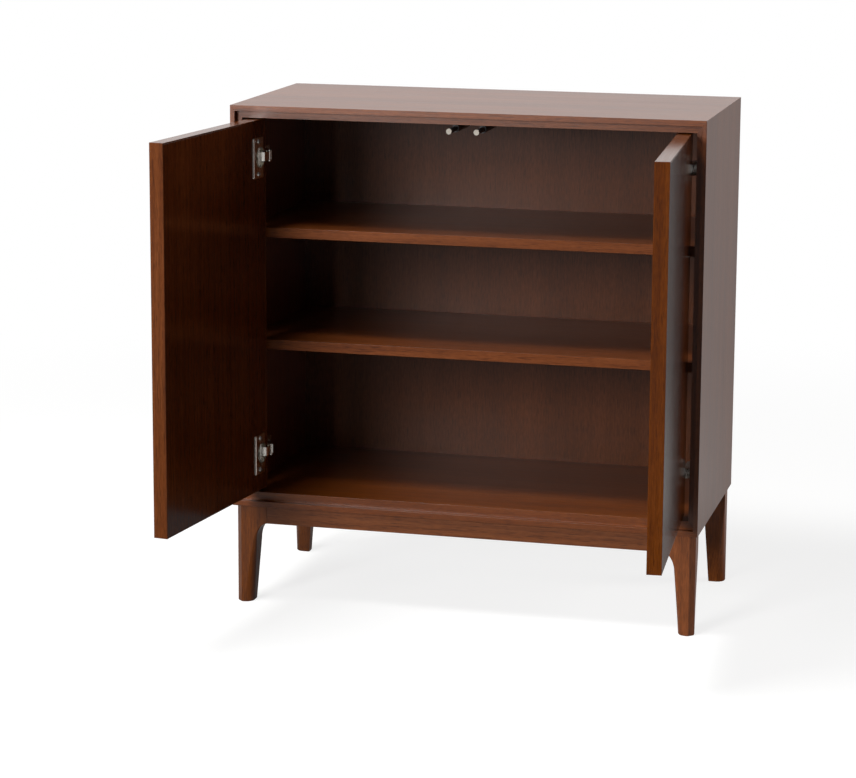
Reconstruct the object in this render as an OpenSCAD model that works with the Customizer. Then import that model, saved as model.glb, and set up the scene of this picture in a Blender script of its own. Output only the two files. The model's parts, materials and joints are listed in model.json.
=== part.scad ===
// Server cabinet for a dining room: a walnut case on four tapered legs, with two inset doors
// on concealed hinges, two shelves and a pair of touch latches.
// Millimetres, +Z up, the front faces -Y. The doors are drawn open.

/* [Case] */
// Width over the side boards
case_w = 762; // [640:1:1000]
// Depth from the front lip to the back
case_d = 360; // [320:1:480]
// Height of the case above its base
case_h = 653; // [560:1:800]
// Thickness of the side boards
side_t = 16.4; // [15.5:0.1:22]
// Thickness of the top board
top_t = 20.4; // [18:0.1:28]
// Thickness of the bottom board
bottom_t = 22.2; // [20:0.1:28]
// Width of the front lip on the sides
side_lip = 7.2; // [5:0.1:9]
// Height of the front lip on the top and the bottom
flat_lip = 8.8; // [6:0.1:11]
// How far the lip stands in front of the inner frame
lip_step = 11; // [5:0.5:14]
// Thickness of the back panel
back_t = 6; // [4:0.5:9]
// Width of the rebate that holds the back panel
back_rebate = 8; // [6:0.5:9]
// Diameter of the corner dowels
dowel_d = 5; // [4:0.5:5]
// Length of the corner dowels
dowel_len = 12; // [8:1:12]

/* [Shelves] */
// Thickness of the shelves
shelf_t = 16; // [12:0.5:22]
// Height of the upper shelf's underside above the floor of the case
upper_shelf_rise = 414.7; // [360:0.1:430]
// Height of the lower shelf's underside above the floor of the case
lower_shelf_rise = 231.5; // [130:0.1:300]
// Gap between the swinging doors and the shelf fronts
shelf_gap = 0.8; // [0.5:0.1:20]
// Gap at each end of a shelf
shelf_side_gap = 1; // [0.5:0.1:2]
// Diameter of the shelf pins
pin_d = 5; // [4:0.5:6]
// Distance from a shelf's front and back edge to its pins
pin_inset = 40; // [25:1:80]

/* [Base] */
// Height of the legs
leg_h = 163; // [120:1:260]
// Distance from the case side to the leg
leg_inset_x = 4; // [2:0.5:12]
// Distance from the case front and back to the leg
leg_inset_y = 5.5; // [2:0.5:12]
// Width of the foot
foot_w = 26; // [20:1:32]
// Width that the leg gains on its way up to the bracket curve
leg_gain = 7.1; // [3:0.1:10]
// Width of the leg above its bracket curve
leg_top_w = 52; // [46:1:64]
// Width of the chamfer on the leg's outer corner
leg_chamfer = 8; // [3:0.5:9]
// Radius of the two rounded corners at the foot
foot_round = 14; // [6:0.5:17]
// Height of the bracket curve
bracket_h = 32; // [20:1:40]
// Height of the aprons
apron_h = 29; // [24:1:40]
// Thickness of the aprons
apron_t = 18; // [14:1:24]
// How far the front and back aprons stand back from the leg faces
apron_recess = 0.4; // [0:0.1:3]
// How far the side aprons stand back from the leg faces
side_apron_recess = 19; // [10:0.5:24]
// Length of the tenons on the aprons
tenon_len = 18; // [12:1:20]
// Thickness of the tenons
tenon_t = 8; // [6:1:10]

/* [Doors] */
// Thickness of the doors
door_t = 22.5; // [20:0.1:26]
// Gap between a door and the frame at its side and its top
door_gap = 2; // [1.8:0.1:3]
// Gap under the doors
door_foot_gap = 5.5; // [2:0.5:8]
// Gap between the two closed doors
meeting_gap = 2.4; // [1.6:0.1:4]
// Thickness of the solid edging round each door
edging_t = 2; // [1:0.5:3]
// Angle at which the left door stands open
left_open = 97.1; // [0:0.1:104]
// Angle at which the right door stands open
right_open = 94.1; // [0:0.1:104]

/* [Hinges] */
// Height of a hinge's centre from the end of its door
hinge_inset = 60.5; // [50:0.5:120]
// Distance from the door edge to the centre of the cup
cup_edge = 22.5; // [21.5:0.5:24]
// Diameter of the cup
cup_d = 35; // [34:0.5:36]
// Depth of the cup
cup_depth = 13; // [12.5:0.1:14]
// Height of the cup's flange
flange_h = 65; // [62:1:72]
// Width of the cup's flange
flange_w = 36; // [32:1:38]
// Thickness of the cup's flange
flange_t = 1.2; // [0.8:0.1:1.4]
// Height of the rolled edge on the flange
roll_h = 2.5; // [1.5:0.1:3]
// Spacing of the two cup screws
cup_screw_gap = 52; // [48:1:54]
// Distance from the side board to the centre about which the door turns
pole_x = 16; // [15.5:0.1:16.5]
// Distance from the inner frame back to the centre about which the door turns
pole_y = 7; // [6:0.1:7]
// Height of the hinge link
link_h = 14; // [10:1:14]
// Thickness of the link's plate
link_t = 1.6; // [1:0.1:1.6]
// Width of the hinge arm
arm_w = 18; // [17.6:0.1:20]
// Thickness of the arm's plate
arm_t = 1.4; // [1:0.1:1.4]
// Distance from the closed door's inner face to the rear end of the arm
arm_reach = 66; // [58:1:90]
// Height of the arm above the side board
arm_rise = 17.5; // [16:0.5:18]
// Spacing of the two screws in a mounting plate
plate_screw_gap = 32; // [30:1:36]

/* [Touch latches] */
// Distance from the middle of the case to each latch
latch_x = 22; // [20:0.5:60]
// Depth of the latch axis below the top board
latch_drop = 9.2; // [8:0.1:14]
// Diameter of the latch housing
housing_d = 12; // [11:0.5:15]
// Length of the latch housing
housing_len = 84; // [80:1:120]
// Diameter of the plunger
plunger_d = 8.4; // [7:0.1:9]
// Travel of the plunger
plunger_travel = 39; // [20:1:40]
// Length of the plunger without its tip
plunger_len = 68; // [60:1:70]
// Length of the plunger's pale tip
tip_len = 4; // [2:0.5:5]

/* [Hidden] */
$fn = 48;

walnut = [0.40, 0.25, 0.18];
dark_walnut = [0.28, 0.16, 0.11];
lit_walnut = [0.52, 0.36, 0.28];
steel = [0.74, 0.73, 0.71];
grey = [0.30, 0.30, 0.30];
pale = [0.88, 0.87, 0.84];
beech = [0.72, 0.56, 0.38];

fit = 0.1; // clearance round dowels, screws and tenons
running = 0.04; // clearance of a turning or sliding fit
touch = 0.3; // gap between seated pieces of different bodies
past = 1; // how far a cut runs past the surface it opens

base_z = leg_h;
top_z = base_z + case_h;
front_y = -case_d / 2;
frame_y = front_y + lip_step;
back_y = case_d / 2 - back_t;
open_w = case_w - 2 * side_t;
open_z0 = base_z + bottom_t;
open_z1 = top_z - top_t;
side_x = -open_w / 2; // inner face of the left side board

// Doors, described closed
door_w = (open_w - 2 * door_gap - meeting_gap) / 2;
door_z0 = open_z0 + door_foot_gap;
door_z1 = open_z1 - door_gap;
door_x = side_x + door_gap;
door_back_y = frame_y + door_t;
pole = [side_x + pole_x, frame_y + pole_y];
hinge_zs = [door_z0 + hinge_inset, door_z1 - hinge_inset];
cup_x = door_x + cup_edge;
cup_screw_shift = 5.5; // from the cup's centre to the line of its screws
cup_wall = 1;
seam = 0.05; // glue line between the strips of edging
cup_r = cup_d / 2 - fit;
cavity_r = cup_r - cup_wall;
cup_screw_x = cup_x + cup_screw_shift;

// Screws: radius and length of the shank, radius and height of the head
back_screw_r = 1.5;
back_screw_len = 16;
back_head_r = 3;
back_head_h = 2;
back_head_sink = 0.2;
base_screw_r = 2;
base_screw_len = 36;
base_head_r = 4;
base_head_h = 2.4;
hinge_screw_len = 11;
cup_screw_r = 1.8;
cup_head_r = 3.6;
cup_head_h = 1.4;
plate_screw_r = 2.4;
plate_head_r = 3.7;
plate_head_h = 1.8;
arm_screw_r = 2;
arm_head_r = 3.3;
arm_head_h = 1.4;
latch_screw_r = 1.5;
latch_screw_len = 10;
latch_head_r = 2.8;
latch_head_h = 1.4;
head_lift = 0.5; // the shank runs this far into a head

// Turns a point of the closed left door to its place with the door open by angle a
function turned(p, a) = [
    pole[0] + (p[0] - pole[0]) * cos(a) + (p[1] - pole[1]) * sin(a),
    pole[1] - (p[0] - pole[0]) * sin(a) + (p[1] - pole[1]) * cos(a)
];
// A point of the left door: distance from its hinge edge, height above its inner face, angle
function door_point(along, lift, a) = turned([door_x + along, door_back_y + lift], a);

// Folding link: its pin in the arm lies where the cup pin keeps its distance, closed and open
design_open = 97.1;
cup_pin_along = 14;
cup_pin_depth = 5.5;
arm_pin_reach = 28;
cup_pin_closed = door_point(cup_pin_along, -cup_pin_depth, 0);
cup_pin_open = door_point(cup_pin_along, -cup_pin_depth, design_open);
pole_dir = atan2(cup_pin_closed[1] - pole[1], cup_pin_closed[0] - pole[0]) - design_open / 2;
arm_pin = [pole[0] + arm_pin_reach * cos(pole_dir), pole[1] + arm_pin_reach * sin(pole_dir)];
link_turn = atan2(cup_pin_open[1] - arm_pin[1], cup_pin_open[0] - arm_pin[0])
          - atan2(cup_pin_closed[1] - arm_pin[1], cup_pin_closed[0] - arm_pin[0]);
link_ratio = link_turn / design_open;
// Bends of the link: distance along the open door from its edge, height above its face
link_bends = [[2.5, 3.8], [7.2, 4.1], [10.8, 2.6], [12.7, -0.5]];
link_path = concat([arm_pin], [for (b = link_bends) door_point(b[0], b[1], design_open)],
                   [cup_pin_open]);
link_pin_r = 1;
eye_r = 1.9;
link_end_r = 1.4;
cheek_r = 2.1;
cheek_in = link_h / 2 + 0.5; // inner face of an arm cheek, from the middle of the hinge

// Hinge arm and mounting plate
arm_back_y = door_back_y + arm_reach;
plate_len = 36;
plate_front_y = arm_back_y - plate_len;
wing_w = 16;
wing_t = 2.6;
wing_end = 7; // from a plate screw to the end of its wing
plate_screw_y = plate_front_y + wing_w / 2;
arm_screw_foot = 5; // from the side board to the end of an arm screw
arm_screw_inset = 12; // from the front of the plate to the first arm screw
arm_screw_end = 9; // from the second arm screw to the end of the arm
arm_screw_ys = [plate_front_y + arm_screw_inset, arm_back_y - arm_screw_end];

// Touch latches
latch_z = open_z1 - latch_drop;
shut_tip_y = door_back_y + touch;
housing_y = shut_tip_y + tip_len + 0.5;
tip_y = shut_tip_y - plunger_travel;

// Shelves
door_sweep_y = pole[1] + norm([pole_x - door_gap, door_t - pole_y]);
shelf_y0 = door_sweep_y + shelf_gap;
shelf_y1 = back_y - shelf_side_gap;
upper_shelf_z = open_z0 + upper_shelf_rise;
lower_shelf_z = open_z0 + lower_shelf_rise;
pin_ys = [shelf_y0 + pin_inset, shelf_y1 - pin_inset];
pin_depth = 9;
pin_collar_t = 1.2;
pin_blade_l = 12;
pin_blade_w = 10;
pin_blade_t = 2;
pin_rib_l = 8;

// Base
leg_x = -case_w / 2 + leg_inset_x;
leg_y = front_y + leg_inset_y;
bracket_z = leg_h - apron_h;
straight_z = bracket_z - bracket_h;
leg_depth = foot_w + leg_gain; // of the leg at its top, from front to back
apron_z = leg_h - apron_h;
block_x = case_w / 4;
block_l = 60;
block_s = 22;
block_y = leg_y + apron_recess + apron_t + block_s / 2;

// The origin is the bottom centre of the cabinet with its doors open as drawn
left_tip = [for (lift = [0, -door_t]) door_point(door_w, lift, left_open)];
right_tip = [for (lift = [0, -door_t]) door_point(door_w, lift, right_open)];
x_low = min(-case_w / 2, left_tip[0][0], left_tip[1][0]);
x_high = max(case_w / 2, -right_tip[0][0], -right_tip[1][0]);
y_low = min(front_y, left_tip[0][1], left_tip[1][1], right_tip[0][1], right_tip[1][1]);
home = [-(x_low + x_high) / 2, -(y_low + case_d / 2) / 2, 0];

module placed() { translate(home) children(); }
module mirrored() { mirror([1, 0, 0]) children(); }

// Extrudes a drawing of the front (x, z) from depth y0 back to y1
module slab(y0, y1) { translate([0, y1, 0]) rotate([90, 0, 0]) linear_extrude(y1 - y0) children(); }

// Upright cylinder, cylinder along y and cylinder along x, each from its low end
module rod_z(p, r, h) { translate(p) cylinder(r = r, h = h); }
module rod_y(p, r, h) { translate(p) rotate([-90, 0, 0]) cylinder(r = r, h = h); }
module rod_x(p, r, h) { translate(p) rotate([0, 90, 0]) cylinder(r = r, h = h); }

// Outlines of the mitred boards for given thicknesses at the side, the top and the bottom
module side_outline(s, t, b) {
    x = -case_w / 2;
    polygon([[x, base_z], [x, top_z], [x + s, top_z - t], [x + s, base_z + b]]);
}
module top_outline(s, t) {
    x = case_w / 2;
    polygon([[-x, top_z], [x, top_z], [x - s, top_z - t], [s - x, top_z - t]]);
}
module bottom_outline(s, b) {
    x = case_w / 2;
    polygon([[-x, base_z], [x, base_z], [x - s, base_z + b], [s - x, base_z + b]]);
}

// Corner dowels stand square to the mitre, in the middle of the boards
dowel_inset = 60; // from the front and the back to the nearest dowels
module corner_dowels(extra) {
    for (y = [front_y + dowel_inset, 0, case_d / 2 - dowel_inset])
        for (side = [-1, 1])
            for (end = [[top_z - top_t / 2, top_t, 1], [base_z + bottom_t / 2, bottom_t, -1]])
                translate([side * (case_w - side_t) / 2, y, end[0]])
                    rotate([0, -side * end[2] * atan2(end[1], side_t), 0])
                        cylinder(d = dowel_d + 2 * extra, h = dowel_len + 2 * extra, center = true);
}

// Places of the screws that hold the back panel, at the middle of its rebate
back_edge_x = open_w / 2 + back_rebate / 2 - 0.5;
back_edge_z0 = open_z0 - back_rebate / 2 + 0.5;
back_edge_z1 = open_z1 + back_rebate / 2 - 0.5;
module back_screw_places() {
    for (i = [-2 : 2]) {
        translate([i * open_w / 5, case_d / 2, back_edge_z0]) children();
        translate([i * open_w / 5, case_d / 2, back_edge_z1]) children();
    }
    for (side = [-1, 1])
        for (i = [-1 : 1])
            translate([side * back_edge_x, case_d / 2, (open_z0 + open_z1) / 2 + i * case_h / 4]) children();
}
module back_screw_bores() {
    back_screw_places() {
        rod_y([0, -back_screw_len - fit, 0], back_screw_r + fit / 2, back_screw_len + past);
    }
}
module back_screws() {
    color(steel) back_screw_places() union() {
        rod_y([0, -back_screw_len, 0], back_screw_r, back_screw_len - back_head_h / 2);
        translate([0, -back_head_h - back_head_sink, 0]) rotate([-90, 0, 0])
            cylinder(r1 = back_screw_r, r2 = back_head_r, h = back_head_h);
    }
}

module base_screw_places() {
    for (x = [-block_x, block_x]) for (side = [-1, 1]) translate([x, side * -block_y, 0]) children();
}
base_screw_z0 = leg_h - block_s;
module base_screws() {
    color(steel) base_screw_places() union() {
        rod_z([0, 0, base_screw_z0 - head_lift], base_screw_r, base_screw_len + head_lift);
        rod_z([0, 0, base_screw_z0 - base_head_h], base_head_r, base_head_h);
    }
}
module base_screw_bores() {
    base_screw_places()
        rod_z([0, 0, base_screw_z0 - past], base_screw_r + fit, base_screw_len + past + 2 * fit);
}

module top_panel() {
    color(lit_walnut) difference() {
        union() {
            slab(front_y, frame_y) top_outline(side_lip, flat_lip);
            slab(frame_y, back_y) top_outline(side_t, top_t);
            slab(back_y, case_d / 2) top_outline(side_t - back_rebate, top_t - back_rebate);
        }
        corner_dowels(fit);
        back_screw_bores();
        latch_screw_places()
            rod_z([0, 0, -past], latch_screw_r + fit / 2, latch_screw_len + past + fit);
    }
}
module bottom_panel() {
    color(walnut) difference() {
        union() {
            slab(front_y, frame_y) bottom_outline(side_lip, flat_lip);
            slab(frame_y, back_y) bottom_outline(side_t, bottom_t);
            slab(back_y, case_d / 2) bottom_outline(side_t - back_rebate, bottom_t - back_rebate);
        }
        corner_dowels(fit);
        back_screw_bores();
        base_screw_bores();
    }
}
module left_side() {
    color(walnut) difference() {
        union() {
            slab(front_y, frame_y) side_outline(side_lip, flat_lip, flat_lip);
            slab(frame_y, back_y) side_outline(side_t, top_t, bottom_t);
            slab(back_y, case_d / 2)
                side_outline(side_t - back_rebate, top_t - back_rebate, bottom_t - back_rebate);
        }
        corner_dowels(fit);
        back_screw_bores();
        pin_places() rod_x([-pin_depth - fit, 0, 0], pin_d / 2 + fit / 2, pin_depth + past);
        plate_screw_places() rod_x([-hinge_screw_len - fit, 0, 0], plate_screw_r + fit / 2,
                                   hinge_screw_len + past);
    }
}
module right_side() { mirrored() left_side(); }

module back_panel() {
    w = open_w / 2 + back_rebate - fit;
    color(dark_walnut) difference() {
        translate([-w, back_y, open_z0 - back_rebate + fit])
            cube([2 * w, back_t, open_z1 - open_z0 + 2 * (back_rebate - fit)]);
        back_screw_bores();
        back_screw_places() translate([0, -back_head_h - back_head_sink - fit, 0])
            rotate([-90, 0, 0])
                cylinder(r1 = back_screw_r + fit, r2 = back_head_r + 3 * fit, h = back_head_h + 4 * fit);
    }
}
module case_dowels() { color(beech) corner_dowels(0); }

module shelf(z) {
    w = open_w / 2 - shelf_side_gap;
    color(walnut) translate([-w, shelf_y0, z]) cube([2 * w, shelf_y1 - shelf_y0, shelf_t]);
}
module upper_shelf() { shelf(upper_shelf_z); }
module lower_shelf() { shelf(lower_shelf_z); }

// Places of the shelf pins on the left, each at the middle of its bore
module pin_places() {
    for (z = [upper_shelf_z, lower_shelf_z])
        for (y = pin_ys) translate([side_x, y, z - pin_blade_t - pin_d / 2]) children();
}
module left_pins() {
    pin_places() union() {
        rod_x([-pin_depth, 0, 0], pin_d / 2, pin_depth + pin_collar_t / 2);
        rod_x([0, 0, 0], pin_d / 2 + pin_collar_t, pin_collar_t);
        translate([0, -pin_blade_w / 2, pin_d / 2]) cube([pin_blade_l, pin_blade_w, pin_blade_t]);
        translate([pin_collar_t / 2, -pin_blade_t / 2, -pin_d / 2])
            cube([pin_rib_l, pin_blade_t, pin_d + pin_blade_t / 2]);
    }
}
module shelf_pins() {
    color(steel) {
        left_pins();
        mirrored() left_pins();
    }
}

// A leg's cross-section at height z, w wide and d deep: a chamfer on the outer corner, a sharp
// inner corner, and the two corners between them rounded
function leg_width(z) = foot_w + leg_gain * min(z, straight_z) / straight_z;
function leg_round(z) = max(0.4, foot_round * (1 - pow(min(z, bracket_z) / bracket_z, 2)));
arc_steps = 8;
least_side = 0.5; // flat that stays between a chamfer and a rounded corner
function leg_ring(z, w, d, inset) = let (r = leg_round(z), c = min(leg_chamfer, d - r - least_side))
    [for (p = concat(
        [[0, c], [c, 0]],
        [for (i = [0 : arc_steps]) let (t = 90 * i / arc_steps) [w - r + r * sin(t), r - r * cos(t)]],
        [[w, d]],
        [for (i = [0 : arc_steps]) let (t = 90 * i / arc_steps) [r - r * sin(t), d - r + r * cos(t)]]
    )) [inset + p[0] * (w - 2 * inset) / w, inset + p[1] * (d - 2 * inset) / d, z]];

// Heights and widths of the rings: eased foot, straight taper, elliptical bracket, upright top
foot_ease = 1;
foot_ease_w = 0.7;
taper_steps = 5;
bracket_steps = 12;
bracket_reach = leg_top_w - foot_w - leg_gain;
leg_levels = concat(
    [[0, foot_w]],
    [for (i = [0 : taper_steps]) let (z = foot_ease + (straight_z - foot_ease) * i / taper_steps)
        [z, leg_width(z)]],
    [for (i = [1 : bracket_steps]) let (t = 90 * i / bracket_steps)
        [straight_z + bracket_h * sin(t), leg_top_w - bracket_reach * cos(t)]],
    [[leg_h, leg_top_w]]
);
leg_points = [for (l = leg_levels)
    each leg_ring(l[0], l[1], leg_width(l[0]), l[0] == 0 ? foot_ease_w : 0)];
ring_n = 2 * arc_steps + 5;
leg_faces = concat(
    [[for (i = [0 : ring_n - 1]) i]],
    [for (k = [0 : len(leg_levels) - 2]) for (i = [0 : ring_n - 1]) let (j = (i + 1) % ring_n)
        [k * ring_n + i, (k + 1) * ring_n + i, (k + 1) * ring_n + j]],
    [for (k = [0 : len(leg_levels) - 2]) for (i = [0 : ring_n - 1]) let (j = (i + 1) % ring_n)
        [k * ring_n + i, (k + 1) * ring_n + j, k * ring_n + j]],
    [[for (i = [0 : ring_n - 1]) (len(leg_levels) - 1) * ring_n + ring_n - 1 - i]]
);

// Mortises sit in the middle of the aprons' thickness
mortise_off = apron_recess + apron_t / 2;
side_mortise_off = side_apron_recess + apron_t / 2;
tenon_inset = 4.5; // from the upper and lower edge of an apron to its tenon
tenon_h = apron_h - 2 * tenon_inset;
mortise_z = apron_z + tenon_inset - fit;
mortise_w = tenon_t + 2 * fit;
module leg() {
    color(walnut) translate([leg_x, leg_y, 0]) difference() {
        polyhedron(leg_points, leg_faces, convexity = 4);
        translate([leg_top_w - tenon_len - fit, mortise_off - mortise_w / 2, mortise_z])
            cube([tenon_len + past, mortise_w, tenon_h + 2 * fit]);
        translate([side_mortise_off - mortise_w / 2, leg_depth - tenon_len - fit, mortise_z])
            cube([mortise_w, tenon_len + past, tenon_h + 2 * fit]);
    }
}
module front_left_leg() { leg(); }
module front_right_leg() { mirrored() leg(); }
module back_left_leg() { mirror([0, 1, 0]) leg(); }
module back_right_leg() { mirror([0, 1, 0]) mirrored() leg(); }

// An apron of given length along x, with its outer face at y = 0 and a tenon at each end
module apron(l) {
    translate([-l / 2, 0, apron_z]) cube([l, apron_t, apron_h]);
    translate([-l / 2 - tenon_len, (apron_t - tenon_t) / 2, apron_z + tenon_inset])
        cube([l + 2 * tenon_len, tenon_t, tenon_h]);
}
module front_apron() {
    color(walnut) translate([0, leg_y + apron_recess, 0]) apron(-2 * (leg_x + leg_top_w));
}
module back_apron() { mirror([0, 1, 0]) front_apron(); }
module left_apron() {
    color(walnut) translate([leg_x + side_apron_recess, 0, 0]) rotate([0, 0, -90])
        apron(-2 * (leg_y + leg_depth));
}
module right_apron() { mirrored() left_apron(); }
module fixing_blocks() {
    color(beech) difference() {
        base_screw_places() translate([-block_l / 2, -block_s / 2, base_screw_z0])
            cube([block_l, block_s, block_s]);
        base_screw_bores();
    }
}

// Closed left door, then swung open about its pole
module swung(a) { translate(pole) rotate([0, 0, -a]) translate(-pole) children(); }
module hinge_places() { for (z = hinge_zs) translate([0, 0, z]) children(); }
module cup_screw_places() {
    hinge_places() for (side = [-1, 1])
        translate([cup_screw_x, door_back_y, side * cup_screw_gap / 2]) children();
}
module door_panel() {
    color(dark_walnut) difference() {
        translate([door_x + edging_t, frame_y, door_z0 + edging_t])
            cube([door_w - 2 * edging_t, door_t, door_z1 - door_z0 - 2 * edging_t]);
        hinge_places()
            rod_y([cup_x, door_back_y - cup_depth - 2 * fit, 0], cup_d / 2, cup_depth + past);
        cup_screw_places()
            rod_y([0, -hinge_screw_len - fit, 0], cup_screw_r + fit / 2, hinge_screw_len + past);
    }
}
module door_edging() {
    color(walnut) {
        for (x = [door_x, door_x + door_w - edging_t]) translate([x, frame_y, door_z0])
            cube([edging_t, door_t, door_z1 - door_z0]);
        for (z = [door_z0, door_z1 - edging_t]) translate([door_x + edging_t + seam, frame_y, z])
            cube([door_w - 2 * edging_t - 2 * seam, door_t, edging_t]);
    }
}
module left_door_panel() { swung(left_open) door_panel(); }
module left_door_edging() { swung(left_open) door_edging(); }
module right_door_panel() { mirrored() swung(right_open) door_panel(); }
module right_door_edging() { mirrored() swung(right_open) door_edging(); }

// Hinge cup: a drawn cup in the door, a rim, a flange for two screws with a rolled edge towards
// the middle of the door, and stubs of the link's pin
flange_shift = 7.5; // from the cup's centre to the middle of the flange
flange_round = 3;
roll_w = 7;
roll_r = (pow(roll_w / 2, 2) + pow(roll_h, 2)) / (2 * roll_h);
roll_l = flange_h - flange_round;
rim_w = 1;
rim_t = 0.8;
slot_w = 12;
slot_h = 18;
pin_gap = 0.4; // between the link and the stubs beside it
stub_len = 7.4;
module flange_plate() {
    r = flange_round;
    translate([-flange_w / 2 + r, 0, -flange_h / 2]) cube([flange_w - 2 * r, flange_t, flange_h]);
    translate([-flange_w / 2, 0, -flange_h / 2 + r]) cube([flange_w, flange_t, flange_h - 2 * r]);
    for (x = [-1, 1]) for (z = [-1, 1])
        rod_y([x * (flange_w / 2 - r), 0, z * (flange_h / 2 - r)], r, flange_t);
    translate([(flange_w - roll_w) / 2, 0, -roll_l / 2]) linear_extrude(roll_l) intersection() {
        translate([0, roll_h - roll_r]) circle(r = roll_r);
        translate([-roll_w / 2, 0]) square([roll_w, roll_h]);
    }
}
module hinge_cup() {
    color(steel) {
        difference() {
            union() {
                rod_y([cup_x, door_back_y - cup_depth, 0], cup_r, cup_depth);
                rod_y([cup_x, door_back_y, 0], cup_r + rim_w, rim_t);
                translate([cup_x + flange_shift, door_back_y, 0]) flange_plate();
            }
            rod_y([cup_x, door_back_y - cup_depth + cup_wall, 0], cavity_r, cup_depth + past);
            translate([cup_x - cup_r - 2 * rim_w - past, door_back_y, -slot_h / 2])
                cube([slot_w, flange_t + past, slot_h]);
            for (side = [-1, 1])
                rod_y([cup_screw_x, door_back_y - past, side * cup_screw_gap / 2], cup_screw_r + fit / 2,
                      flange_t + 2 * past);
        }
        for (side = [-1, 1]) translate([
            door_x + cup_pin_along, door_back_y - cup_pin_depth,
            side > 0 ? link_h / 2 + pin_gap : -link_h / 2 - pin_gap - stub_len
        ]) cylinder(r = link_pin_r, h = stub_len);
    }
}
module hinge_cups() { hinge_places() hinge_cup(); }
module cup_screws() {
    color(steel) cup_screw_places() union() {
        rod_y([0, -hinge_screw_len, 0], cup_screw_r, hinge_screw_len + flange_t + head_lift);
        rod_y([0, flange_t, 0], cup_head_r, cup_head_h);
    }
}
module left_hinge_cups() { swung(left_open) hinge_cups(); }
module left_cup_screws() { swung(left_open) cup_screws(); }
module right_hinge_cups() { mirrored() swung(right_open) hinge_cups(); }
module right_cup_screws() { mirrored() swung(right_open) cup_screws(); }

// Folding link: a bent plate with an eye on the arm's pin, drawn for a door open by angle a
module plate_run(p, q, t) {
    d = q - p;
    translate(p) rotate([0, 0, atan2(d[1], d[0])]) translate([0, -t / 2]) square([norm(d), t]);
}
module hinge_link(a) {
    color(steel) translate(arm_pin) rotate([0, 0, link_ratio * (a - design_open)]) translate(-arm_pin)
        translate([0, 0, -link_h / 2]) linear_extrude(link_h) difference() {
            union() {
                translate(arm_pin) circle(r = eye_r);
                for (i = [0 : len(link_path) - 2]) plate_run(link_path[i], link_path[i + 1], link_t);
                for (i = [1 : len(link_path) - 2]) translate(link_path[i]) circle(d = link_t);
                translate(cup_pin_open) circle(r = link_end_r);
            }
            translate(arm_pin) circle(r = link_pin_r + running);
        }
}
module left_hinge_links() { hinge_places() hinge_link(left_open); }
module right_hinge_links() { mirrored() hinge_places() hinge_link(right_open); }
pin_head_l = 0.4; // how far a pin stands out of the arm
module pins_of_arms() {
    hinge_places()
        rod_z([arm_pin[0], arm_pin[1], -arm_w / 2 - pin_head_l], link_pin_r, arm_w + 2 * pin_head_l);
}
module hinge_pins() {
    color(steel) {
        pins_of_arms();
        mirrored() pins_of_arms();
    }
}

// Hinge arm: two cheeks joined by a web that clears the link, cranked over to the side board
knee = [arm_pin[0] + 1.2, arm_pin[1] + 7.5];
heel = [side_x + arm_rise, arm_pin[1] + 32];
arm_lift = 0.6; // from the mounting plate's wings to the arm's cheeks
module hinge_arm() {
    foot = side_x + wing_t + arm_lift;
    color(steel) difference() {
        union() {
            for (side = [-1, 1]) translate([0, 0, side > 0 ? cheek_in : -arm_w / 2])
                linear_extrude(arm_w / 2 - cheek_in) union() {
                    translate(arm_pin) circle(r = cheek_r);
                    polygon([
                        [arm_pin[0] + cheek_r, arm_pin[1]], knee, heel, [heel[0], arm_back_y],
                        [foot, arm_back_y], [foot, heel[1] - 8], [side_x + 12, heel[1] - 13],
                        [arm_pin[0] - 7, arm_pin[1] + 7], [arm_pin[0] - cheek_r, arm_pin[1]]
                    ]);
                }
            translate([0, 0, -arm_w / 2]) linear_extrude(arm_w) polygon([
                knee, heel, [heel[0], arm_back_y], [heel[0] - arm_t, arm_back_y],
                [heel[0] - arm_t, heel[1] - 0.6], [knee[0] - 1.1, knee[1] - 1]
            ]);
        }
        rod_z([arm_pin[0], arm_pin[1], -arm_w / 2 - past], link_pin_r + running / 2, arm_w + 2 * past);
        for (y = arm_screw_ys) rod_x([heel[0] - arm_t - past, y, 0], arm_screw_r + fit, arm_t + 2 * past);
    }
}
module left_hinge_arms() { hinge_places() hinge_arm(); }
module right_hinge_arms() { mirrored() left_hinge_arms(); }

// Mounting plate: two wings screwed to the side board and a block under the arm
module plate_screw_places() {
    hinge_places() for (side = [-1, 1])
        translate([side_x, plate_screw_y, side * plate_screw_gap / 2]) children();
}
module hinge_plate() {
    color(steel) difference() {
        union() {
            translate([side_x, plate_front_y, -plate_screw_gap / 2 - wing_end])
                cube([wing_t, wing_w, plate_screw_gap + 2 * wing_end]);
            translate([side_x, plate_front_y + wing_w / 4, -cheek_in + touch])
                cube([arm_rise - arm_t, plate_len - wing_w / 4 - past, 2 * (cheek_in - touch)]);
        }
        for (side = [-1, 1])
            rod_x([side_x - past, plate_screw_y, side * plate_screw_gap / 2], plate_screw_r + fit,
                  wing_t + 2 * past);
        for (y = arm_screw_ys)
            rod_x([side_x + arm_screw_foot - past, y, 0], arm_screw_r + fit / 2, arm_rise);
    }
}
module left_hinge_plates() { hinge_places() hinge_plate(); }
module right_hinge_plates() { mirrored() left_hinge_plates(); }
module left_plate_screws() {
    color(steel) plate_screw_places() union() {
        rod_x([-hinge_screw_len, 0, 0], plate_screw_r, hinge_screw_len + wing_t + head_lift);
        rod_x([wing_t, 0, 0], plate_head_r, plate_head_h);
    }
}
module right_plate_screws() { mirrored() left_plate_screws(); }
module left_arm_screws() {
    color(steel) hinge_places() for (y = arm_screw_ys) union() {
        rod_x([side_x + arm_screw_foot, y, 0], arm_screw_r, arm_rise - arm_screw_foot + head_lift);
        rod_x([side_x + arm_rise, y, 0], arm_head_r, arm_head_h);
    }
}
module right_arm_screws() { mirrored() left_arm_screws(); }

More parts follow.
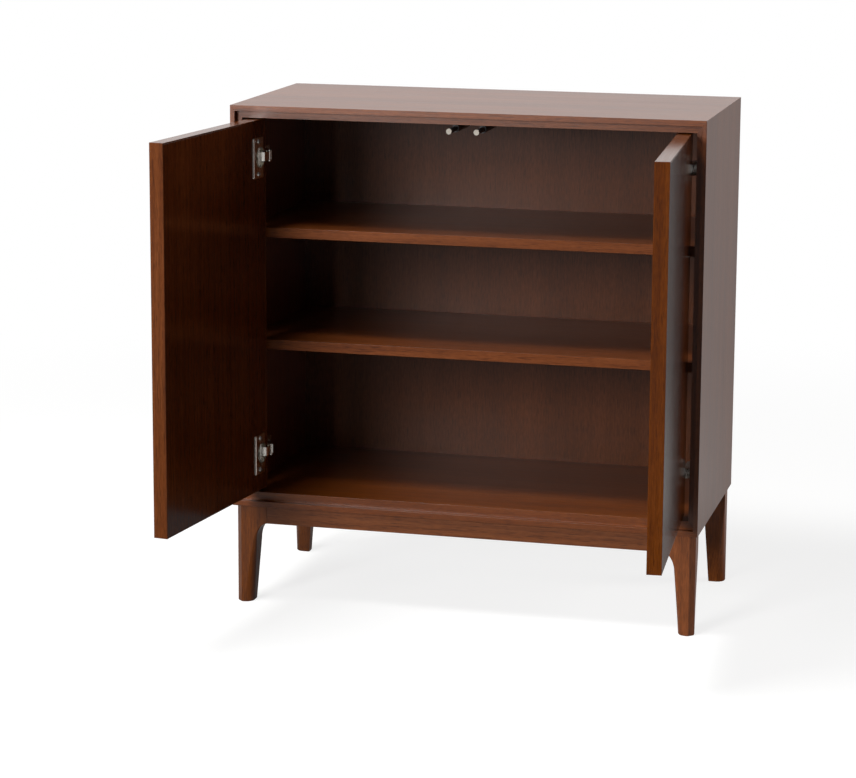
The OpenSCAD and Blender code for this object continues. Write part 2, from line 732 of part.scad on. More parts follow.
// Touch latch: a housing with a plate under the top board, and a plunger that springs out
latch_plate_t = 2.4;
latch_plate_l = 62;
latch_plate_w = 15; // how far the plate stands out past the housing
latch_web = 8;
latch_end = 4; // from the housing's end to its plate
latch_screw_off = 4.5;
latch_screw_inset = 12; // from the housing's front to its first screw
latch_screw_gap = 44;
latch_screw_ys = [housing_y + latch_screw_inset, housing_y + latch_screw_inset + latch_screw_gap];
module latch_screw_places() {
    for (side = [-1, 1]) for (y = latch_screw_ys)
        translate([side * (latch_x + housing_d / 2 + latch_screw_off), y, open_z1]) children();
}
module latch_housing() {
    bore_r = plunger_d / 2 + running;
    color(grey) difference() {
        union() {
            rod_y([latch_x, housing_y, latch_z], housing_d / 2, housing_len);
            translate([latch_x - latch_web / 2, housing_y + latch_end, latch_z])
                cube([latch_web, housing_len - 2 * latch_end, latch_drop - latch_plate_t / 2]);
            translate([latch_x - housing_d / 2, housing_y + latch_end, open_z1 - latch_plate_t])
                cube([housing_d / 2 + latch_plate_w, latch_plate_l, latch_plate_t]);
        }
        rod_y([latch_x, housing_y - past, latch_z], bore_r, housing_len - 3 * past);
        for (y = latch_screw_ys)
            rod_z([latch_x + housing_d / 2 + latch_screw_off, y, open_z1 - latch_plate_t - past],
                  latch_screw_r + fit, latch_plate_t + 2 * past);
    }
}
module left_latch_housing() { mirrored() latch_housing(); }
module right_latch_housing() { latch_housing(); }
module latch_plunger() {
    color(grey) rod_y([latch_x, tip_y + tip_len, latch_z], plunger_d / 2, plunger_len);
}
tip_rim = 0.2;
module latch_tip() {
    color(pale) rod_y([latch_x, tip_y, latch_z], plunger_d / 2 + tip_rim, tip_len);
}
module left_latch_plunger() { mirrored() latch_plunger(); }
module right_latch_plunger() { latch_plunger(); }
module left_latch_tip() { mirrored() latch_tip(); }
module right_latch_tip() { latch_tip(); }
module latch_screws() {
    color(steel) latch_screw_places() union() {
        rod_z([0, 0, -latch_plate_t - head_lift], latch_screw_r,
              latch_plate_t + latch_screw_len + head_lift);
        rod_z([0, 0, -latch_plate_t - latch_head_h], latch_head_r, latch_head_h);
    }
}

placed() top_panel();
placed() bottom_panel();
placed() left_side();
placed() right_side();
placed() back_panel();
placed() back_screws();
placed() case_dowels();
placed() upper_shelf();
placed() lower_shelf();
placed() shelf_pins();
placed() front_left_leg();
placed() front_right_leg();
placed() back_left_leg();
placed() back_right_leg();
placed() front_apron();
placed() back_apron();
placed() left_apron();
placed() right_apron();
placed() fixing_blocks();
placed() base_screws();
placed() left_door_panel();
placed() left_door_edging();
placed() right_door_panel();
placed() right_door_edging();
placed() left_hinge_cups();
placed() left_cup_screws();
placed() left_hinge_links();
placed() left_hinge_arms();
placed() left_hinge_plates();
placed() left_plate_screws();
placed() left_arm_screws();
placed() right_hinge_cups();
placed() right_cup_screws();
placed() right_hinge_links();
placed() right_hinge_arms();
placed() right_hinge_plates();
placed() right_plate_screws();
placed() right_arm_screws();
placed() hinge_pins();
placed() left_latch_housing();
placed() left_latch_plunger();
placed() left_latch_tip();
placed() right_latch_housing();
placed() right_latch_plunger();
placed() right_latch_tip();
placed() latch_screws();
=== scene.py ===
import json
import math

import bmesh
import bpy
from mathutils import Matrix, Vector

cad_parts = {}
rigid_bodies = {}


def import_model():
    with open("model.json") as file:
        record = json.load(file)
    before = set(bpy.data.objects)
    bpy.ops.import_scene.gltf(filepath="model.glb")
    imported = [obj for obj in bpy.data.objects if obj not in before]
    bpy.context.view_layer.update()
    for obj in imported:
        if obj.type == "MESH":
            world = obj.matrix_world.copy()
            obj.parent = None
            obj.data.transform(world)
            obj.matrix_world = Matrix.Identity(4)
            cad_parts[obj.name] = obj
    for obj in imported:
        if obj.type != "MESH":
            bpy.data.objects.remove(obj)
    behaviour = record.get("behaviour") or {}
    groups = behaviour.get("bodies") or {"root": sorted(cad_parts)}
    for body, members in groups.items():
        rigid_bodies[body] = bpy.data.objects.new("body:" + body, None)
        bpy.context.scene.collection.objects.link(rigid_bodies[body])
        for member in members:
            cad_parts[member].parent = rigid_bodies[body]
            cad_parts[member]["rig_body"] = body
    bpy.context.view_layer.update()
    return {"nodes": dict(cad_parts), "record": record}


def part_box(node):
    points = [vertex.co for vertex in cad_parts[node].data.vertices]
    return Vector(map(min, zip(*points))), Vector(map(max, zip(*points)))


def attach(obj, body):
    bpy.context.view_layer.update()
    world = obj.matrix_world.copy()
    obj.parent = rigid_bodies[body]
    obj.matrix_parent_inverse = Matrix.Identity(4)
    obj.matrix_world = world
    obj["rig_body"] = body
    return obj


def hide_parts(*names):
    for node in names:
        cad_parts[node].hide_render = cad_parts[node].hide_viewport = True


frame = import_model()
cadNodes = frame["nodes"]
print("frame loaded, nodes:", len(cadNodes))

mm = 0.001
caseLow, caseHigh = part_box("top_panel")
caseCentre = Vector(((caseLow.x + caseHigh.x) / 2, (caseLow.y + caseHigh.y) / 2, 0))

# camera
photoCamera = {
    "place": (1.0241, -4.3858, 1.2971),  # metres from the middle of the case, height above the floor
    "yaw": -14.39,                       # degrees, negative looks to the left
    "down": 10.58,
    "roll": 0.30,
    "lens": 117.72,                      # millimetres
    "sensor": 36,                        # millimetres wide
    "shiftY": -0.0806,                   # share of the frame's width
}


def makeCamera(view):
    yaw, down, roll = (math.radians(view[key]) for key in ("yaw", "down", "roll"))
    camera = bpy.data.cameras.new("photoCamera")
    camera.lens = view["lens"]
    camera.sensor_width = view["sensor"]
    camera.sensor_fit = "HORIZONTAL"
    camera.shift_y = view["shiftY"]
    holder = bpy.data.objects.new("photoCamera", camera)
    turn = Matrix.Rotation(-yaw, 4, "Z") @ Matrix.Rotation(math.pi / 2 - down, 4, "X")
    place = caseCentre + Vector(view["place"])
    holder.matrix_world = Matrix.Translation(place) @ turn @ Matrix.Rotation(roll, 4, "Z")
    bpy.context.scene.collection.objects.link(holder)
    bpy.context.scene.camera = holder


makeCamera(photoCamera)
print("camera placed")


# node and colour helpers
def linear(hexColour):
    parts = [int(hexColour[i:i + 2], 16) / 255 for i in (1, 3, 5)]
    return tuple(p / 12.92 if p <= 0.04045 else ((p + 0.055) / 1.055) ** 2.4 for p in parts) + (1,)


def addNode(tree, kind, values=None, links=None, **settings):
    node = tree.nodes.new(kind)
    for name, value in settings.items():
        setattr(node, name, value)
    for socket, value in (values or {}).items():
        node.inputs[socket].default_value = value
    for socket, source in (links or {}).items():
        tree.links.new(source, node.inputs[socket])
    return node


def fillRamp(ramp, stops):
    colours = ramp.color_ramp.elements
    while len(colours) < len(stops):
        colours.new(0.5)
    for element, (place, colour) in zip(colours, stops):
        element.position = place
        element.color = colour


def twoTones(tree, source, dark, light):
    # from one colour to the other over the middle of a noise's range
    ramp = addNode(tree, "ShaderNodeValToRGB", links={"Fac": source})
    fillRamp(ramp, [(0.3, linear(dark)), (0.7, linear(light))])
    return ramp.outputs["Color"]


def newMaterial(name):
    material = bpy.data.materials.new(name)
    material.use_nodes = True
    return material, material.node_tree, material.node_tree.nodes["Principled BSDF"]


# wood
veneer = {
    # millimetres along the grain and across it
    "bands": (900, 60),           # light and dark bands in a board
    "growth": (520, 17),          # growth rings
    "streaks": (150, 3.2),
    "pores": (24, 1.1),           # real ones are 0.2 mm wide; drawn 1 mm wide so that they show
    "flecks": (11, 2.2),
    # how the patterns are put together
    "ringPitch": 0.314,           # the wave texture's scale that gives one ring in each growth width
    "ringBend": 16,               # how far the rings wander
    "streakShare": 0.42,
    "toneStops": (0.28, 0.5, 0.72),
    "poreLimits": (0.56, 0.68),   # where the noise starts to be a pore, and where it fully is one
    "poreShare": 0.45,            # how much a pore darkens the wood
    "poreStrength": 0.25,
    "poreDepth": 0.08,            # millimetres
    "roughSpread": (-0.04, 0.08),
}


def lacqueredWalnut(name, tones, roughness, ior=1.45, rings=0.2, flecks=0.3):
    # Sliced walnut veneer, stained red-brown under a satin lacquer: the eye gets long soft streaks,
    # short dark pores and flecks along the grain, and a sheen that rises at low angles.
    # grainPlace holds millimetres along the grain, across it and through the board.
    material, tree, shader = newMaterial(name)
    place = addNode(tree, "ShaderNodeAttribute", attribute_name="grainPlace").outputs["Vector"]

    def stretched(pattern):
        long, wide = veneer[pattern]
        return addNode(tree, "ShaderNodeMapping", {"Scale": (1 / long, 1 / wide, 1 / wide)},
                       {"Vector": place}).outputs["Vector"]

    bands = addNode(tree, "ShaderNodeTexNoise", {"Scale": 1, "Detail": 2, "Roughness": 0.5},
                    {"Vector": stretched("bands")}).outputs["Fac"]
    growth = addNode(tree, "ShaderNodeTexWave",
                     {"Scale": veneer["ringPitch"], "Distortion": veneer["ringBend"],
                      "Detail": 3, "Detail Scale": 1.5},
                     {"Vector": stretched("growth")}, wave_type="BANDS", bands_direction="Y",
                     ).outputs["Fac"]
    streaks = addNode(tree, "ShaderNodeTexNoise", {"Scale": 1, "Detail": 4, "Roughness": 0.65},
                      {"Vector": stretched("streaks")}).outputs["Fac"]
    pores = addNode(tree, "ShaderNodeTexNoise", {"Scale": 1, "Detail": 1, "Roughness": 0.5},
                    {"Vector": stretched("pores")}).outputs["Fac"]
    fleckNoise = addNode(tree, "ShaderNodeTexNoise", {"Scale": 1, "Detail": 2, "Roughness": 0.6},
                         {"Vector": stretched("flecks")}).outputs["Fac"]
    ringed = addNode(tree, "ShaderNodeMix", {0: rings}, {2: bands, 3: growth}).outputs[0]
    streaked = addNode(tree, "ShaderNodeMix", {0: veneer["streakShare"]},
                       {2: ringed, 3: streaks}).outputs[0]
    figured = addNode(tree, "ShaderNodeMix", {0: flecks}, {2: streaked, 3: fleckNoise}).outputs[0]
    ramp = addNode(tree, "ShaderNodeValToRGB", links={"Fac": figured})
    fillRamp(ramp, [(stop, linear(tone)) for stop, tone in zip(veneer["toneStops"], tones)])
    poreLow, poreHigh = veneer["poreLimits"]
    poreMask = addNode(tree, "ShaderNodeMapRange", {"From Min": poreLow, "From Max": poreHigh},
                       {"Value": pores}).outputs["Result"]
    poreShare = addNode(tree, "ShaderNodeMath", {1: veneer["poreShare"]}, {0: poreMask},
                        operation="MULTIPLY").outputs[0]
    grained = addNode(tree, "ShaderNodeMix", {7: linear(tones[0])}, {0: poreShare, 6: ramp.outputs["Color"]},
                      data_type="RGBA", blend_type="MULTIPLY").outputs[2]
    # each piece's lightness and colour strength: partly its board's own tone, partly painted light and shade
    board = addNode(tree, "ShaderNodeAttribute", attribute_name="shadeAndTone").outputs["Vector"]
    tone = addNode(tree, "ShaderNodeSeparateXYZ", links={0: board})
    colour = addNode(tree, "ShaderNodeHueSaturation",
                     links={"Color": grained, "Value": tone.outputs["X"], "Saturation": tone.outputs["Y"]})
    tree.links.new(colour.outputs["Color"], shader.inputs["Base Color"])
    smoother, rougher = veneer["roughSpread"]
    rough = addNode(tree, "ShaderNodeMapRange",
                    {"To Min": roughness + smoother, "To Max": roughness + rougher},
                    {"Value": streaks}).outputs["Result"]
    tree.links.new(rough, shader.inputs["Roughness"])
    shader.inputs["IOR"].default_value = ior
    bump = addNode(tree, "ShaderNodeBump",
                   {"Strength": veneer["poreStrength"], "Distance": veneer["poreDepth"] * mm},
                   {"Height": poreMask}, invert=True)
    tree.links.new(bump.outputs["Normal"], shader.inputs["Normal"])
    return material


rawBeech = {  # millimetres along the grain and across it
    "streaks": (80, 5),
    "flecks": (3, 0.7),
    "fleckLimits": (0.62, 0.7),
    "fleckShare": 0.5,
    "fleckColour": "#8A5E38",
    "dark": "#B98C5E",
    "light": "#D3AC7E",
    "roughness": 0.62,
}


def planedBeech(name):
    # Planed beech without a finish: pale, warm and matt, with short brown flecks along the grain.
    material, tree, shader = newMaterial(name)
    place = addNode(tree, "ShaderNodeAttribute", attribute_name="grainPlace").outputs["Vector"]
    noises = []
    for pattern, detail in (("streaks", 4), ("flecks", 1)):
        long, wide = rawBeech[pattern]
        stretched = addNode(tree, "ShaderNodeMapping", {"Scale": (1 / long, 1 / wide, 1 / wide)},
                            {"Vector": place})
        noises.append(addNode(tree, "ShaderNodeTexNoise", {"Scale": 1, "Detail": detail},
                              {"Vector": stretched.outputs["Vector"]}).outputs["Fac"])
    streaks, flecks = noises
    fleckLow, fleckHigh = rawBeech["fleckLimits"]
    mask = addNode(tree, "ShaderNodeMapRange",
                   {"From Min": fleckLow, "From Max": fleckHigh, "To Max": rawBeech["fleckShare"]},
                   {"Value": flecks})
    wood = twoTones(tree, streaks, rawBeech["dark"], rawBeech["light"])
    colour = addNode(tree, "ShaderNodeMix", {7: linear(rawBeech["fleckColour"])},
                     {0: mask.outputs["Result"], 6: wood}, data_type="RGBA").outputs[2]
    tree.links.new(colour, shader.inputs["Base Color"])
    shader.inputs["Roughness"].default_value = rawBeech["roughness"]
    return material


plating = {  # pattern steps in a metre
    "marks": (900, 900, 120),   # rolling marks about 1 mm wide and 8 mm long
    "cloud": 160,               # uneven patches about 6 mm wide
    "markStrength": 0.15,
    "markDepth": 0.02,          # millimetres
    "roughSpread": (-0.06, 0.1),
}


def platedSteel(name, colour, roughness, wear):
    # Pressed steel with a thin bright plating: soft reflections, slightly uneven where the press
    # has drawn it, and faint rolling marks.
    material, tree, shader = newMaterial(name)
    place = addNode(tree, "ShaderNodeTexCoord").outputs["Object"]
    rolled = addNode(tree, "ShaderNodeMapping", {"Scale": plating["marks"]}, {"Vector": place})
    marks = addNode(tree, "ShaderNodeTexNoise", {"Scale": 1, "Detail": 3},
                    {"Vector": rolled.outputs["Vector"]}).outputs["Fac"]
    cloud = addNode(tree, "ShaderNodeTexNoise", {"Scale": plating["cloud"], "Detail": 2},
                    {"Vector": place}).outputs["Fac"]
    tree.links.new(twoTones(tree, cloud, wear, colour), shader.inputs["Base Color"])
    smoother, rougher = plating["roughSpread"]
    rough = addNode(tree, "ShaderNodeMapRange",
                    {"To Min": roughness + smoother, "To Max": roughness + rougher}, {"Value": marks})
    tree.links.new(rough.outputs["Result"], shader.inputs["Roughness"])
    shader.inputs["Metallic"].default_value = 1
    bump = addNode(tree, "ShaderNodeBump",
                   {"Strength": plating["markStrength"], "Distance": plating["markDepth"] * mm},
                   {"Height": marks})
    tree.links.new(bump.outputs["Normal"], shader.inputs["Normal"])
    return material


moulding = {  # pattern steps in a metre
    "grain": 2500,              # the mould's sparked grain, 0.4 mm
    "cloud": 120,               # faint flow marks about 8 mm wide
    "grainStrength": 0.2,
    "grainDepth": 0.02,         # millimetres
    "roughness": (0.38, 0.52),
}


def mouldedAcetal(name, colour, shade):
    # Injection-moulded acetal: an even, slightly waxy surface with a fine spark-eroded grain.
    material, tree, shader = newMaterial(name)
    place = addNode(tree, "ShaderNodeTexCoord").outputs["Object"]
    grain = addNode(tree, "ShaderNodeTexNoise", {"Scale": moulding["grain"], "Detail": 2},
                    {"Vector": place}).outputs["Fac"]
    cloud = addNode(tree, "ShaderNodeTexNoise", {"Scale": moulding["cloud"], "Detail": 1},
                    {"Vector": place}).outputs["Fac"]
    tree.links.new(twoTones(tree, cloud, shade, colour), shader.inputs["Base Color"])
    smoothest, roughest = moulding["roughness"]
    rough = addNode(tree, "ShaderNodeMapRange", {"To Min": smoothest, "To Max": roughest}, {"Value": grain})
    tree.links.new(rough.outputs["Result"], shader.inputs["Roughness"])
    bump = addNode(tree, "ShaderNodeBump",
                   {"Strength": moulding["grainStrength"], "Distance": moulding["grainDepth"] * mm},
                   {"Height": grain})
    tree.links.new(bump.outputs["Normal"], shader.inputs["Normal"])
    return material


finishes = {
    "walnut_case": lacqueredWalnut("stainedWalnutCase", ("#4A240F", "#6C3819", "#854B27"), 0.3),
    "walnut_shelf": lacqueredWalnut("stainedWalnutShelf", ("#4A210E", "#6E3918", "#864A26"), 0.28, 1.24),
    "walnut_back": lacqueredWalnut("stainedWalnutBack", ("#3C2012", "#552F1B", "#683E29"), 0.3, 1.3,
                                   rings=0.05, flecks=0.42),
    "walnut_base": lacqueredWalnut("stainedSolidWalnut", ("#48240F", "#6A3818", "#814A26"), 0.31, 1.4),
    "walnut_door": lacqueredWalnut("stainedWalnutDoor", ("#3E1A08", "#55260D", "#673415"), 0.13, 1.32),
    "walnut_edging": lacqueredWalnut("stainedWalnutEdging", ("#4A220E", "#693615", "#7E4722"), 0.16, 1.22),
    "beech": planedBeech("planedBeech"),
    "grey_plastic": mouldedAcetal("greyAcetal", "#3A3A3C", "#2C2C2E"),
    "pale_plastic": mouldedAcetal("paleAcetal", "#AAA296", "#9A9286"),
    "zinc_screws": platedSteel("brightZincSteel", "#D4D5D6", 0.34, "#B8BABC"),
    "nickel_steel": platedSteel("nickelPlatedSteel", "#EEEAE2", 0.26, "#DEDAD2"),
}
slotOf = {part["node"]: part["material_slot"] for part in frame["record"]["subparts"]}
print("materials made:", len(finishes))


# pieces made over the CAD solids
doorTurn = {}  # degrees that each open door is turned from closed, so that its grain runs upright
for joint in frame["record"]["behaviour"]["joints"]:
    if joint["name"].endswith("_door_hinge"):
        doorTurn[joint["name"].split("_")[0]] = -joint["range_deg"][0] * joint["axis"][2]

easing = {  # edge radius and shortest edge that is eased, in millimetres; crease in degrees
    "board": {"radius": 0.45, "segments": 3, "shortest": 6.0, "crease": 40},
    "leg": {"radius": 0.9, "segments": 3, "shortest": 1.5, "crease": 40},
    "metal": {"radius": 0.22, "segments": 2, "shortest": 0.9, "crease": 50},
    "small": {"radius": 0.3, "segments": 2, "shortest": 0.2, "crease": 50},
}
meshCare = {
    "merge": 0.002,  # millimetres between points that count as one
    "flat": 0.5,     # degrees between faces that count as one
    "sharp": 32,     # degrees from which an edge is shaded sharp
}
logCuts = {  # millimetres from one piece's place in the log to the next one's
    "start": 1000,
    "piece": 700,
    "solid": 331,
    "across": 0.37,   # shares of the shift that go across the grain and through the board
    "through": 0.11,
}


def islands(bm):
    # groups of vertices that hang together, in the same order each run
    left = dict.fromkeys(bm.verts)
    found = []
    while left:
        group, edge = [], [left.popitem()[0]]
        while edge:
            vert = edge.pop()
            group.append(vert)
            for link in vert.link_edges:
                other = link.other_vert(vert)
                if other in left:
                    del left[other]
                    edge.append(other)
        found.append(group)
    return sorted(found, key=lambda g: tuple(round(c, 5) for c in min((v.co.to_tuple() for v in g))))


def layGrain(bm, turn, along, seed, tone):
    # writes each vertex's place in its board, in millimetres: along the grain, across it and through
    # the board; and how light and how strongly coloured its piece is drawn, which holds its board's own tone
    # and painted light and shade
    layer = bm.verts.layers.float_vector.new("grainPlace")
    shadeAndToneLayer = bm.verts.layers.float_vector.new("shadeAndTone")
    straight = Matrix.Rotation(math.radians(-turn), 3, "Z")
    for index, group in enumerate(islands(bm)):
        places = {vert: straight @ vert.co / mm for vert in group}
        spans = [max(p[i] for p in places.values()) - min(p[i] for p in places.values()) for i in range(3)]
        first = "xyz".index(along) if along else spans.index(max(spans))
        second = max((i for i in range(3) if i != first), key=lambda i: spans[i])
        third = 3 - first - second
        # each board is cut from another part of the log
        shift = logCuts["start"] + logCuts["piece"] * seed + logCuts["solid"] * index
        for vert, p in places.items():
            vert[layer] = (p[first] + shift, p[second] + logCuts["across"] * shift,
                           p[third] + logCuts["through"] * shift)
            vert[shadeAndToneLayer] = (*tone, 0)


crossRecess = {  # shares of the screw head's radius
    "reach": 0.62,  # from the middle to the end of each arm
    "half": 0.15,   # half an arm's width
    "depth": 0.5,
    "floor": 0.6,   # how wide the recess still is at its floor, as a share of its top
}


def crossHeads(bm, size):
    # a cross recess, sunk into the flat top of each screw head
    for group in islands(bm):
        head = max((f for v in group for f in v.link_faces), key=lambda f: f.calc_area())
        middle, out = head.calc_center_median(), head.normal.copy()
        radius = math.sqrt(head.calc_area() / math.pi)
        across = (out.orthogonal().normalized(), out.cross(out.orthogonal()).normalized())
        top = [head]
        for axis in across:
            for share in (-size["reach"], -size["half"], size["half"], size["reach"]):
                parts = dict.fromkeys([*top, *(e for f in top for e in f.edges),
                                       *(v for f in top for v in f.verts)])
                cut = bmesh.ops.bisect_plane(bm, geom=list(parts), plane_no=axis,
                                             plane_co=middle + axis * share * radius)
                top = [g for g in cut["geom"] if isinstance(g, bmesh.types.BMFace)]
        cross = []
        for face in top:
            away = face.calc_center_median() - middle
            near, far = sorted(abs(away.dot(axis)) / radius for axis in across)
            if near < size["half"] and far < size["reach"]:
                cross.append(face)
        sunk = bmesh.ops.extrude_face_region(bm, geom=cross)["geom"]
        verts = [g for g in sunk if isinstance(g, bmesh.types.BMVert)]
        bmesh.ops.translate(bm, verts=verts, vec=-out * size["depth"] * radius)
        bmesh.ops.scale(bm, verts=verts, vec=(size["floor"],) * 3,
                        space=Matrix.Translation(out * size["depth"] * radius - middle))
        bmesh.ops.delete(bm, geom=cross, context="FACES")
    bm.normal_update()
    # the cuts leave edges and faces in another order each run, so both are put in one order
    bm.verts.index_update()
    for parts in (bm.edges, bm.faces):
        ordered = sorted(parts, key=lambda part: sorted(v.index for v in part.verts))
        rank = {part: place for place, part in enumerate(ordered)}
        parts.sort(key=lambda part: rank[part])


def easedCopy(name, ease, along=None, turn=0, seed=0, tone=(1, 1), crossed=False):
    # the CAD node's own shape, merged and with its sharp edges eased; crossed is for screws
    bm = bmesh.new()
    bm.from_mesh(cadNodes[name].data)
    bmesh.ops.remove_doubles(bm, verts=bm.verts, dist=meshCare["merge"] * mm)
    bmesh.ops.dissolve_limit(bm, angle_limit=math.radians(meshCare["flat"]), verts=bm.verts, edges=bm.edges)
    creases = [e for e in bm.edges if len(e.link_faces) == 2
               and e.calc_face_angle(0) > math.radians(ease["crease"])
               and e.calc_length() > ease["shortest"] * mm]
    bmesh.ops.bevel(bm, geom=creases, offset=ease["radius"] * mm, offset_type="OFFSET", affect="EDGES",
                    segments=ease["segments"], profile=0.5, material=-1, clamp_overlap=True)
    if crossed:
        crossHeads(bm, crossRecess)
    for face in bm.faces:
        face.smooth = True
    for edge in bm.edges:
        edge.smooth = edge.calc_face_angle(0) < math.radians(meshCare["sharp"])
    layGrain(bm, turn, along, seed, tone)
    mesh = bpy.data.meshes.new(name + "_shown")
    bm.to_mesh(mesh)
    bm.free()
    piece = bpy.data.objects.new(name + "_shown", mesh)
    bpy.context.scene.collection.objects.link(piece)
    mesh.materials.append(finishes[slotOf[name]])
    weigh = piece.modifiers.new("evenShading", "WEIGHTED_NORMAL")
    weigh.keep_sharp = True
    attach(piece, cadNodes[name]["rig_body"])
    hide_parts(name)


boards = {  # the way that each board's grain runs
    "top_panel": "x", "bottom_panel": "x", "left_side": "z", "right_side": "z", "back_panel": "z",
    "upper_shelf": "x", "lower_shelf": "x", "front_apron": "x", "back_apron": "x",
    "left_apron": "y", "right_apron": "y", "fixing_blocks": "x",
}
# each piece's lightness and colour strength: partly its own board's tone, partly painted shade on the
# bottom, back and shelves inside the case and painted light on the front apron and top
toneAndShadeByBoard = {
    "bottom_panel": (0.94, 1.05), "front_apron": (1.06, 1.0), "back_panel": (0.93, 1.06),
    "top_panel": (1.04, 1.0), "upper_shelf": (0.94, 1.0), "lower_shelf": (0.96, 1.0),
}
# each leg's lightness and colour strength: partly its own wood tone, partly painted light on the right-hand
# legs, as if lit from the right, and painted shade on the back left leg
toneAndShadeByLeg = {
    "front_left_leg": (0.82, 1.1), "front_right_leg": (1.52, 1.0),
    "back_left_leg": (0.6, 1.14), "back_right_leg": (1.74, 1.05),
}
# the right door and its edging are drawn darker: painted shade on the right door's outer face, which the
# side lamp would light; partly also board-to-board tone
toneAndShadeByEdging = {"left": (0.9, 1.0), "right": (0.87, 1.05)}
toneAndShadeByDoor = {"left": (1.0, 1.0), "right": (0.84, 1.0)}
firstCut = {"board": 0, "leg": 20, "door": 30, "edging": 40}  # where in the log each kind of piece starts

for seed, (name, along) in enumerate(boards.items()):
    easedCopy(name, easing["board"], along, seed=firstCut["board"] + seed,
              tone=toneAndShadeByBoard.get(name, (1, 1)))
for seed, (name, tone) in enumerate(toneAndShadeByLeg.items()):
    easedCopy(name, easing["leg"], "z", seed=firstCut["leg"] + seed, tone=tone)
for seed, side in enumerate(["left", "right"]):
    easedCopy(side + "_door_panel", easing["board"], "z", doorTurn[side], firstCut["door"] + seed,
              toneAndShadeByDoor[side])
    easedCopy(side + "_door_edging", easing["board"], None, doorTurn[side], firstCut["edging"] + seed,
              toneAndShadeByEdging[side])
    for part in ("hinge_cups", "hinge_links", "hinge_arms", "hinge_plates"):
        easedCopy(side + "_" + part, easing["metal"])
    for part in ("cup_screws", "plate_screws", "arm_screws"):
        easedCopy(side + "_" + part, easing["metal"], crossed=True)
    for part in ("latch_housing", "latch_plunger", "latch_tip"):
        easedCopy(side + "_" + part, easing["small"])
for name in ("back_screws", "base_screws", "latch_screws"):
    easedCopy(name, easing["metal"], crossed=True)
easedCopy("shelf_pins", easing["metal"])
easedCopy("case_dowels", easing["small"], "x")
print("pieces eased")

for name, node in cadNodes.items():
    if not node.data.materials:
        node.data.materials.append(finishes[slotOf[name]])
    for index in range(len(node.data.materials)):
        node.data.materials[index] = finishes[slotOf[name]]
print("materials laid on the CAD nodes")

# floor, world and lamps
paperFloor = {
    "size": 60,               # metres
    "drop": 0.2,              # millimetres below the feet
    "colour": "#969695",      # grey paper, so that it throws little light up at the doors
    "roughness": 0.9,
    "lift": 0.79,             # what brings the grey paper up to white for the camera
    "whiteFrom": (0.9, 2.6),  # metres out: where the paper starts to turn plain white, and where it is
    # how bright it looks in reflections
    "gloss": 0.78,            # behind the object
    "dim": 0.16,              # close behind the case: a painted shadow of the case, seen only in reflections
    "front": 0.8,             # in front of it, which the metal mirrors
    # where it brightens, in metres from the middle of the model
    "behind": (-0.8, 1.0),    # towards the back, from the first place to the second
    "ahead": (-1.0, -2.2),    # towards the front
    "slant": (0.10, 0.32),    # out of the case's painted shadow: metres to the side for each metre back
    "caseHalf": 0.38,         # about half the case's width, from which the slant starts
    "shallow": 0.1,           # least depth that the slant is measured over
}
studioRoom = {
    "light": 0.08,            # what the white room adds to the light on the object
    "backdrop": 1.0,          # how bright the backdrop is for the camera
    "bright": 1.05,           # and in reflections
    "dark": 0.04,             # and the room behind the camera in reflections
    "turn": (-0.5, 0.6),      # the directions, from front to back, between which dark turns bright
}


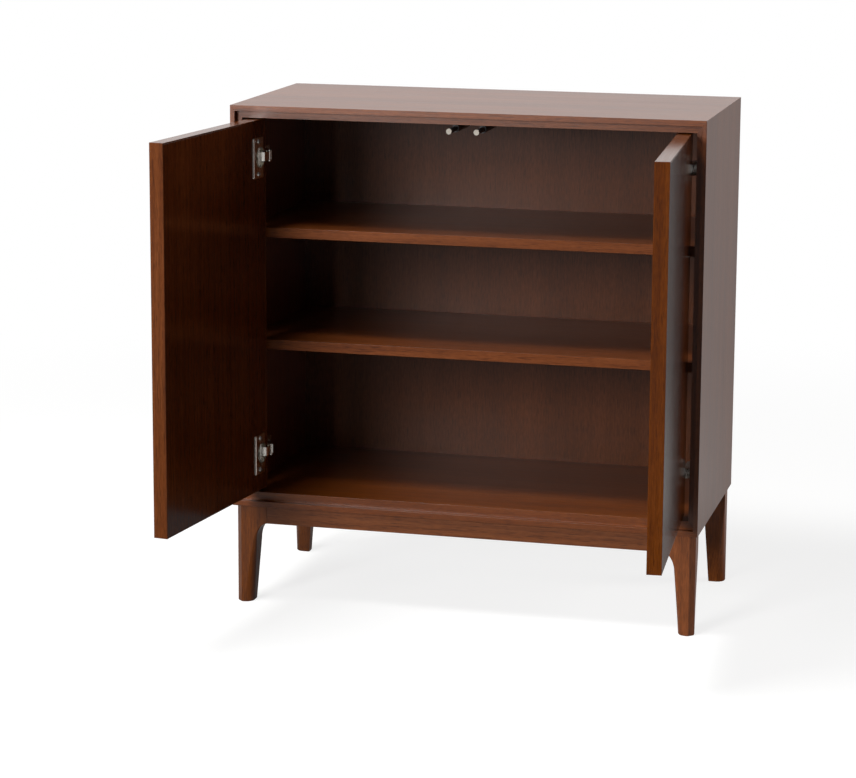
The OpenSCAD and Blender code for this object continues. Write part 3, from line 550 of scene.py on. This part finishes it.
def makeFloor(made):
    bm = bmesh.new()
    bmesh.ops.create_grid(bm, x_segments=1, y_segments=1, size=made["size"] / 2)
    mesh = bpy.data.meshes.new("paperFloor")
    bm.to_mesh(mesh)
    bm.free()
    floor = bpy.data.objects.new("paperFloor", mesh)
    bpy.context.scene.collection.objects.link(floor)
    floor.location = (0, 0, -made["drop"] * mm)
    paper, tree, shader = newMaterial("whitePaper")
    shader.inputs["Base Color"].default_value = linear(made["colour"])
    shader.inputs["Roughness"].default_value = made["roughness"]
    shader.inputs["Specular IOR Level"].default_value = 0

    def combine(operation, first, second):
        return addNode(tree, "ShaderNodeMath", links={0: first, 1: second}, operation=operation).outputs[0]

    def withNumber(operation, first, number):
        return addNode(tree, "ShaderNodeMath", {1: number}, {0: first}, operation=operation).outputs[0]

    def softStep(value, limits, high=1):
        return addNode(tree, "ShaderNodeMapRange",
                       {"From Min": limits[0], "From Max": limits[1], "To Max": high},
                       {"Value": value}, interpolation_type="SMOOTHSTEP").outputs["Result"]

    rays = addNode(tree, "ShaderNodeLightPath")
    toCamera, mirrored = rays.outputs["Is Camera Ray"], rays.outputs["Is Glossy Ray"]
    place = addNode(tree, "ShaderNodeTexCoord").outputs["Object"]
    spot = addNode(tree, "ShaderNodeSeparateXYZ", links={0: place})

    # in reflections: bright behind the object but for a painted shadow of the case, and bright in front
    behind = softStep(spot.outputs["Y"], made["behind"])
    sideways = addNode(tree, "ShaderNodeMath", links={0: spot.outputs["X"]}, operation="ABSOLUTE").outputs[0]
    slant = combine("DIVIDE", withNumber("SUBTRACT", sideways, made["caseHalf"]),
                    withNumber("MAXIMUM", spot.outputs["Y"], made["shallow"]))
    outsidePaintedShadow = combine("MULTIPLY", behind, softStep(slant, made["slant"]))
    gloss = addNode(tree, "ShaderNodeMapRange", {"To Min": made["dim"], "To Max": made["gloss"]},
                    {"Value": outsidePaintedShadow}).outputs["Result"]
    sheen = combine("MAXIMUM", gloss, softStep(spot.outputs["Y"], made["ahead"], made["front"]))
    power = combine("MAXIMUM", toCamera, combine("MULTIPLY", mirrored, sheen))

    # lifted paper near the object, plain white far from it
    white = addNode(tree, "ShaderNodeEmission", {"Color": (1, 1, 1, 1)}, {"Strength": power})
    lift = addNode(tree, "ShaderNodeEmission", {"Color": (1, 1, 1, 1)},
                   {"Strength": withNumber("MULTIPLY", power, made["lift"])})
    near = addNode(tree, "ShaderNodeAddShader", links={0: shader.outputs[0], 1: lift.outputs[0]})
    reach = addNode(tree, "ShaderNodeVectorMath", links={0: place}, operation="LENGTH").outputs["Value"]
    share = combine("MULTIPLY", softStep(reach, made["whiteFrom"]), combine("MAXIMUM", toCamera, mirrored))
    mix = addNode(tree, "ShaderNodeMixShader", links={0: share, 1: near.outputs[0], 2: white.outputs[0]})
    tree.links.new(mix.outputs[0], tree.nodes["Material Output"].inputs["Surface"])
    floor.data.materials.append(paper)


def makeWorld(made):
    world = bpy.data.worlds.new("studioWorld")
    bpy.context.scene.world = world
    world.use_nodes = True
    tree = world.node_tree
    rays = addNode(tree, "ShaderNodeLightPath")
    # the backdrop is white, and the room behind the camera is dim
    way = addNode(tree, "ShaderNodeTexCoord").outputs["Generated"]
    parts = addNode(tree, "ShaderNodeSeparateXYZ", links={0: way})
    dimEnd, brightEnd = made["turn"]
    room = addNode(tree, "ShaderNodeMapRange",
                   {"From Min": dimEnd, "From Max": brightEnd,
                    "To Min": made["dark"], "To Max": made["bright"]},
                   {"Value": parts.outputs["Y"]}).outputs["Result"]
    lit = addNode(tree, "ShaderNodeMix", {2: made["light"]},
                  {0: rays.outputs["Is Glossy Ray"], 3: room}).outputs[0]
    level = addNode(tree, "ShaderNodeMix", {3: made["backdrop"]},
                    {0: rays.outputs["Is Camera Ray"], 2: lit}).outputs[0]
    background = tree.nodes["Background"]
    background.inputs["Color"].default_value = (1, 1, 1, 1)
    tree.links.new(level, background.inputs["Strength"])


lamps = {  # places and sizes in metres from the middle of the case, power in watts
    "topSoftbox": {"place": (-1.20, -1.30, 3.80), "aim": (0, -0.1, 0.6), "size": (1.5, 0.8), "power": 110},
    "frontSoftbox": {"place": (-1.56, -4.06, 1.60), "aim": (0, 0, 0.45), "size": (1.3, 1.3), "power": 130},
    "sideSoftbox": {"place": (3.20, 0.90, 1.50), "aim": (0, 0, 0.45), "size": (1.2, 1.2), "power": 32},
}


def makeLamp(name, lamp):
    light = bpy.data.lights.new(name, "AREA")
    light.shape = "RECTANGLE"
    light.size, light.size_y = lamp["size"]
    light.energy = lamp["power"]
    holder = bpy.data.objects.new(name, light)
    place = caseCentre + Vector(lamp["place"])
    aim = caseCentre + Vector(lamp["aim"])
    holder.location = place
    holder.rotation_euler = (aim - place).to_track_quat("-Z", "Y").to_euler()
    bpy.context.scene.collection.objects.link(holder)


makeFloor(paperFloor)
makeWorld(studioRoom)
for name, lamp in lamps.items():
    makeLamp(name, lamp)
bpy.context.scene.view_settings.view_transform = "Standard"
print("floor, world and lamps placed")
